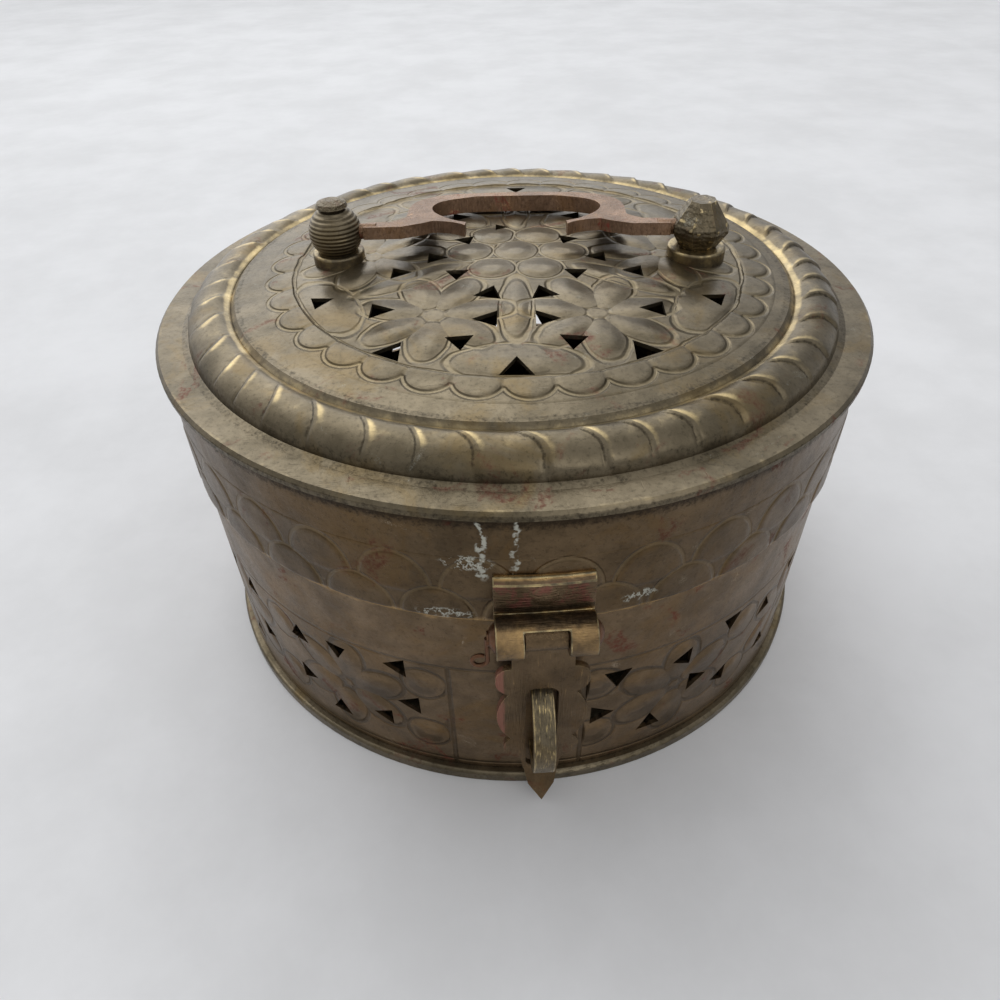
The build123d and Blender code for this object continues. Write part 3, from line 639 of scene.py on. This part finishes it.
def handle_surface(g, place):
    """The bail: a reddish casting with saw marks down its edges."""
    x, y, z = g.split(place)
    cuts = g.noise(g.join(g.mul(x, 1.0), g.mul(y, 1.0), g.mul(z, 0.12)), 1.7, 3, 0.7)
    dust = g.noise(place, 0.3, 5, 0.7)
    return {
        "Wear and highlight": g.mul(g.ramp(dust, 0.5, 0.72), 0.6),
        "Grime and shade": g.ramp(cuts, 0.62, 0.45, 0.0, 0.45),
        "Warmth": 0.0,
        "Stains": 1.0,
        "Relief": g.mul(cuts, 1.5),
        "Rough skin": 0.7,
    }


def hasp_surface(g, place):
    """The hasp: brushed lengthwise, with red left along one edge of the plate."""
    x, y, z = g.split(place)
    brushed = g.noise(g.join(g.mul(x, 2.0), g.mul(y, 2.0), g.mul(z, 0.15)), 1.5, 3, 0.6)
    red = g.ramp(g.add(x, g.mul(brushed, 1.6)), -7.4, -8.3)
    red = g.mul(red, g.mul(g.ramp(z, 16.0, 24.0), g.ramp(z, 56.0, 50.0)))
    return {
        "Wear and highlight": g.mul(g.ramp(brushed, 0.5, 0.72), 0.5),
        "Grime and shade": 0.2,
        "Warmth": 0.35,
        "Stains": 0.4,
        "Relief": g.mul(brushed, 0.7),
        "Paint": g.mul(red, 0.7),
        "Paint color": (0.36, 0.15, 0.11, 1),
    }


def bracket_surface(g, place):
    """The bracket: a golden rubbed barrel and a red-stained leaf."""
    x, y, z = g.split(place)
    barrel = g.mul(g.ramp(z, 59.0, 62.0), g.ramp(z, 70.0, 67.0))
    grain = g.noise(g.join(g.mul(x, 0.2), g.mul(y, 2.0), g.mul(z, 2.0)), 1.3, 3, 0.6)
    red = g.mul(g.noise(place, 0.22, 4, 0.7), g.ramp(z, 67.6, 69.2))
    red = g.mul(g.ramp(red, 0.47, 0.6), g.ramp(z, 76.0, 74.6))
    return {
        "Wear and highlight": g.add(g.mul(barrel, 0.5), g.mul(g.ramp(z, 75.2, 76.2), 0.7)),
        "Grime and shade": g.mul(g.line(g.sub(z, 68.3), 1.3), 0.8),
        "Warmth": 0.8,
        "Stains": 0.3,
        "Relief": g.mul(grain, 0.9),
        "Paint": g.mul(red, 0.7),
        "Paint color": (0.22, 0.075, 0.06, 1),
    }


def staple_surface(g, place):
    """The staple: drawn along its loop and polished where the hasp rubs it."""
    x, y, z = g.split(place)
    drawn = g.noise(g.join(g.mul(x, 2.6), g.mul(y, 0.25), g.mul(z, 0.25)), 1.4, 3, 0.6)
    return {
        "Wear and highlight": g.add(0.25, g.mul(g.ramp(drawn, 0.5, 0.7), 0.5)),
        "Grime and shade": g.ramp(drawn, 0.5, 0.36, 0.0, 0.6),
        "Warmth": 0.6,
        "Stains": 0.15,
        "Relief": g.mul(drawn, 1.3),
    }


LOOKS = {
    "lid": brass("lid_brass", lid_surface, depth=0.6),
    "bead": brass("bead_brass", bead_surface, depth=0.3),
    "skirt": brass("skirt_brass", skirt_surface, depth=0.5, tint=(0.72, 0.6, 0.5)),
    "wall": brass("wall_brass", wall_surface, depth=0.6, tint=(1.08, 0.91, 0.8)),
    "plate": brass("plate_brass", plate_surface, depth=0.3),
    "inner": brass("inner_brass_look", plain_surface(0.2, 0.25, 0.2, 0.2), depth=0.3),
    "edge": brass("rubbed_edge", plain_surface(1.1, 0.0, 0.5, 0.0), depth=0.15),
    "turned": brass("turned_brass", turned_surface, depth=0.35),
    "faceted": brass("faceted_brass", faceted_surface, depth=0.4),
    "collar": brass("collar_brass", plain_surface(0.9, 0.15, 0.4, 0.3), depth=0.35),
    "handle": brass(
        "handle_brass", handle_surface, metal=0.7, depth=0.35, tint=(1.95, 1.48, 1.42)
    ),
    "handle_edge": brass(
        "handle_rubbed_edge",
        plain_surface(1.2, 0.0, 0.1, 0.0),
        metal=0.7,
        depth=0.2,
        tint=(1.15, 0.9, 0.88),
    ),
    "hasp": brass("hasp_brass", hasp_surface, depth=0.25, tint=(0.85, 0.7, 0.58)),
    "bracket": brass("bracket_brass", bracket_surface, depth=0.25, tint=(0.95, 0.8, 0.7)),
    "staple": brass("staple_brass", staple_surface, depth=0.3),
    "fitting": brass("fitting_brass", plain_surface(0.8, 0.2, 0.5, 0.3), depth=0.3),
    "copper": brass("copper_pin", copper_surface, depth=0.25),
}

NODE_LOOKS = {
    "base_plate": "plate",
    "base_rim": "plate",
    "base_wall": "wall",
    "neck_ring": "inner",
    "staple": "staple",
    "staple_backplate": "inner",
    "hinge_base_leaf": "fitting",
    "hinge_base_rivets": "collar",
    "hinge_pin": "copper",
    "lid_top": "lid",
    "lid_skirt": "skirt",
    "left_post": "turned",
    "right_post": "faceted",
    "left_collar": "collar",
    "right_collar": "collar",
    "post_washers": "inner",
    "hasp_bracket": "bracket",
    "bracket_rivet": "bracket",
    "hasp_pin": "copper",
    "hinge_lid_leaf": "fitting",
    "hinge_lid_rivets": "collar",
    "handle": "handle",
    "hasp": "hasp",
}

# Node, width of its rubbed edges in millimetres and their look
WORN_EDGES = {
    "handle": (0.45, "handle_edge"),
    "hasp": (0.22, "edge"),
    "hasp_bracket": (0.3, "edge"),
    "staple": (0.35, "edge"),
    "right_post": (0.3, "edge"),
    "hinge_base_leaf": (0.25, "edge"),
    "hinge_lid_leaf": (0.25, "edge"),
    "staple_backplate": (0.2, "inner"),
}


def dress(node, look, worn=None):
    """Give a node its material and, where stated, a narrow rubbed bevel on its edges."""
    node.data.materials.clear()
    node.data.materials.append(LOOKS[look])
    if worn is None:
        return
    width, edge_look = worn
    node.data.materials.append(LOOKS[edge_look])
    weld = node.modifiers.new("weld", "WELD")
    weld.merge_threshold = 1e-6
    bevel = node.modifiers.new("rubbed_edges", "BEVEL")
    bevel.width = width * MM
    bevel.segments = 2
    bevel.limit_method = "ANGLE"
    bevel.angle_limit = radians(35)
    bevel.material = 1
    bevel.use_clamp_overlap = True
    normals = node.modifiers.new("even_normals", "WEIGHTED_NORMAL")
    normals.keep_sharp = False


for name, look in NODE_LOOKS.items():
    dress(nodes[name], look, WORN_EDGES.get(name))


def bead_profile(points):
    """Points across the bead's arched top, from its inner to its outer edge."""
    chord_x = BEAD_OUTER[0] - BEAD_INNER[0]
    chord_z = BEAD_OUTER[1] - BEAD_INNER[1]
    chord = sqrt(chord_x**2 + chord_z**2)
    radius = ((chord / 2) ** 2 + BEAD_SAGITTA**2) / (2 * BEAD_SAGITTA)
    half = asin(chord / 2 / radius)
    places = []
    for i in range(points):
        a = half * (2 * i / (points - 1) - 1)
        along = chord / 2 + radius * sin(a)
        rise = radius * (cos(a) - cos(half))
        x = BEAD_INNER[0] + (along * chord_x - rise * chord_z) / chord
        z = BEAD_INNER[1] + (along * chord_z + rise * chord_x) / chord
        places.append((x, z))
    return places


def smooth(value, low, high):
    """0 before low and 1 after high, with an even turn between."""
    t = min(1.0, max(0.0, (value - low) / (high - low)))
    return t * t * (3 - 2 * t)


def lobe_height(phase, across):
    """Relief of the overlapping lobes: each rises sharply from a groove and sinks slowly."""
    t = phase % 1.0
    rise = smooth(t, 0.0, 0.1) * (1 - 0.6 * smooth(t, 0.1, 1.0))
    return rise * smooth(across, 0.06, 0.26) * smooth(across, 1.0, 0.84)


def make_ring(name, section, steps, shape, look):
    """A closed ring from its section, each point then moved by shape; it rides the lid."""
    mesh = bmesh.new()
    verts = [mesh.verts.new((x * MM, 0, z * MM)) for x, z in section]
    edges = [mesh.edges.new((verts[i - 1], verts[i])) for i in range(len(verts))]
    bmesh.ops.spin(
        mesh,
        geom=edges,
        cent=(0, 0, 0),
        axis=(0, 0, 1),
        angle=2 * pi,
        steps=steps,
        use_merge=True,
        use_duplicate=False,
    )
    bmesh.ops.remove_doubles(mesh, verts=mesh.verts, dist=1e-7)
    for vert in mesh.verts:
        x, y, z = vert.co / MM
        vert.co = Vector(shape(sqrt(x * x + y * y), atan2(y, x), z)) * MM
    bmesh.ops.recalc_face_normals(mesh, faces=mesh.faces)
    data = bpy.data.meshes.new(name)
    mesh.to_mesh(data)
    mesh.free()
    for face in data.polygons:
        face.use_smooth = True
    ring = bpy.data.objects.new(name, data)
    bpy.context.scene.collection.objects.link(ring)
    data.materials.append(LOOKS[look])
    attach(ring, "lid")


def around(radius, angle, z):
    """A point from its radius, its angle and its height."""
    return radius * cos(angle), radius * sin(angle), z


BEAD_TOP = bead_profile(21)
BEAD_RADII = [x for x, z in BEAD_TOP]


def rope_shape(radius, angle, z):
    """A point of the rope bead, lifted where a lobe is."""
    row = min(bisect(BEAD_RADII, radius - 0.01), len(BEAD_TOP) - 1)
    if z < BEAD_TOP[row][1]:
        return around(radius, angle, z)
    share = row / (len(BEAD_TOP) - 1)
    slant = BEAD_SLANT * sin(pi / 2 * min(1.0, share * BEAD_BEND))
    wander = 0.12 * sin(5 * angle) + 0.1 * sin(11 * angle + 2.0)
    phase = BEAD_LOBES * angle / (2 * pi) - slant + wander
    uneven = 0.85 + 0.15 * sin(3 * angle + 1.0) * sin(7 * angle)
    lift = uneven * lobe_height(phase, share)
    return around(radius + 0.39 * (share * 2 - 0.6) * lift, angle, z + 0.92 * lift)


def dome_height(distance):
    """Height of the lid's domed middle at a distance from its centre."""
    dome_radius = (PLATEAU_RADIUS**2 + DOME_RISE**2) / (2 * DOME_RISE)
    return DOME_TOP - dome_radius + sqrt(dome_radius**2 - distance**2)


def fold(angle, step, start):
    """An angle brought into one sector of a ring, measured from the sector's middle."""
    return (angle - start + step / 2) % step - step / 2


def scallop_shape(radius, angle, z):
    """A point of the border round the lid's flowers, lifted inside each scallop."""
    sector = 2 * pi / SCALLOPS
    turned = fold(angle - ORNAMENT_TURN, sector, sector / 2)
    away = sqrt((radius * cos(turned) - SCALLOP_CENTRE) ** 2 + (radius * sin(turned)) ** 2)
    pillow = smooth(-away, -SCALLOP_RADIUS, -4.3) * (0.75 + 0.25 * smooth(-away, -4.3, -1.0))
    ends = smooth(radius, 56.3, 57.6) * smooth(-radius, -65.3, -64.6)
    lift = ends * (0.08 + 0.5 * pillow) - 0.12 * (1 - ends)
    x = radius * cos(angle) + ORNAMENT_SHIFT
    y = radius * sin(angle)
    return x, y, dome_height(sqrt(x * x + y * y)) + (lift if z > 0 else -0.5)


def scale_shape(radius, angle, z):
    """A point of the band of scales on the lid's skirt, lifted on each scale."""
    if radius < SKIRT_RADIUS - 0.3:
        return around(radius, angle, z)
    front = atan2(cos(angle), -sin(angle))
    lifts = []
    for (middle, half_width, foot, height), rise in zip(SCALE_ROWS, (0.48, 0.32)):
        u = fold(front, SCALE_PITCH, middle) * SKIRT_RADIUS
        away = sqrt((u / half_width) ** 2 + ((z - foot) / height) ** 2)
        lifts.append(rise * smooth(-away, -1.0, -0.86) * (1 - 0.3 * smooth(away, 0.0, 0.86)))
    lifts[1] *= smooth(z, 68.5, 69.5)
    ends = smooth(z, 62.4, 62.9) * smooth(-z, -80.6, -80.1)
    lift = ends * (0.06 + max(lifts)) - 0.1 * (1 - ends)
    return around(SKIRT_RADIUS + lift, angle, z)


def ladder(start, end, step):
    """Even rungs from start to end, about a step apart."""
    count = round((end - start) / step)
    return [start + (end - start) * i / count for i in range(count + 1)]


make_ring(
    "rope_bead",
    [(x, z + 0.06) for x, z in BEAD_TOP] + [(x, z - 0.5) for x, z in reversed(BEAD_TOP)],
    900,
    rope_shape,
    "bead",
)
border = ladder(56.2, 65.4, 0.46)
make_ring(
    "scallop_border",
    [(r, 1.0) for r in border] + [(r, -1.0) for r in reversed(border)],
    770,
    scallop_shape,
    "lid",
)
band = ladder(62.4, 80.6, 0.6)
make_ring(
    "scale_band",
    [(SKIRT_RADIUS, z) for z in band] + [(SKIRT_RADIUS - 0.6, z) for z in reversed(band)],
    768,
    scale_shape,
    "skirt",
)


def make_floor():
    """A plain floor of pale stone."""
    mesh = bmesh.new()
    bmesh.ops.create_grid(mesh, x_segments=1, y_segments=1, size=4.0)
    data = bpy.data.meshes.new("floor")
    mesh.to_mesh(data)
    mesh.free()
    floor = bpy.data.objects.new("floor", data)
    floor.location.z = -0.0002
    bpy.context.scene.collection.objects.link(floor)
    material = bpy.data.materials.new("pale_stone")
    material.use_nodes = True
    g = Graph(material.node_tree)
    shader = material.node_tree.nodes["Principled BSDF"]
    place = millimetres(g)
    cloud = g.noise(place, 0.012, 6, 0.65)
    color = g.mix(g.ramp(cloud, 0.3, 0.7), (0.68, 0.672, 0.668, 1), (0.76, 0.752, 0.75, 1))
    g.feed(shader.inputs["Base Color"], color)
    shader.inputs["Roughness"].default_value = 0.75
    data.materials.append(material)


def add_lamp(name, place, aim, size, power, color=(1, 1, 1)):
    """A soft rectangular lamp at a place, turned to its aim."""
    lamp = bpy.data.lights.new(name, "AREA")
    lamp.shape = "RECTANGLE"
    lamp.size, lamp.size_y = size
    lamp.energy = power
    lamp.color = color
    holder = bpy.data.objects.new(name, lamp)
    holder.location = place
    holder.rotation_euler = (Vector(aim) - Vector(place)).to_track_quat("-Z", "Y").to_euler()
    bpy.context.scene.collection.objects.link(holder)


def make_world():
    """A soft room: pale from above, brightest where a wide window stands behind the box."""
    world = bpy.data.worlds.new("studio")
    bpy.context.scene.world = world
    world.use_nodes = True
    g = Graph(world.node_tree)
    background = world.node_tree.nodes["Background"]
    x, y, z = g.split(g.put("ShaderNodeTexCoord").outputs["Generated"])
    towards = g.add(g.add(g.mul(x, -0.3), g.mul(y, 0.78)), g.mul(z, 0.55))
    glow = g.mul(g.ramp(towards, 0.5, 0.95), 1.25)
    glow = g.add(glow, g.ramp(z, 0.0, 1.0, 0.34, 0.68))
    seen = g.put("ShaderNodeLightPath").outputs["Is Camera Ray"]
    background.inputs["Color"].default_value = (0.95, 0.97, 1.0, 1)
    g.feed(background.inputs["Strength"], g.add(g.mul(glow, g.sub(1.0, seen)), g.mul(seen, 0.6)))


def make_camera():
    """The photograph's view: a near, wide camera looking down at the front."""
    pitch, roll, turn = radians(41.464), radians(-1.882), radians(-2.0)
    right = Vector((1, 0, 0))
    forward = Vector((0, cos(pitch), -sin(pitch)))
    up = Vector((0, sin(pitch), cos(pitch)))
    side = cos(roll) * right + sin(roll) * up
    top = -sin(roll) * right + cos(roll) * up
    rotation = Matrix((side, top, -forward)).transposed().to_4x4()
    place = Vector((-0.0067, -0.1905, 0.1835))
    camera = bpy.data.cameras.new("camera")
    camera.lens = 27.36
    camera.sensor_width = 36
    camera.shift_x = 0.0084
    camera.shift_y = 0.0069
    camera.clip_start = 0.01
    holder = bpy.data.objects.new("camera", camera)
    swing = Matrix.Rotation(turn, 4, "Z")
    holder.matrix_world = swing @ Matrix.Translation(place) @ rotation
    bpy.context.scene.collection.objects.link(holder)
    bpy.context.scene.camera = holder


make_floor()
make_world()
add_lamp("window", (-0.35, 0.8, 0.85), (0, 0, 0.06), (1.1, 0.8), 2.0, (0.95, 0.98, 1.0))
add_lamp("soft_front", (0.5, -0.8, 0.8), (0, 0, 0.06), (0.8, 0.6), 1.5)
make_camera()
bpy.context.scene.view_settings.view_transform = "Standard"
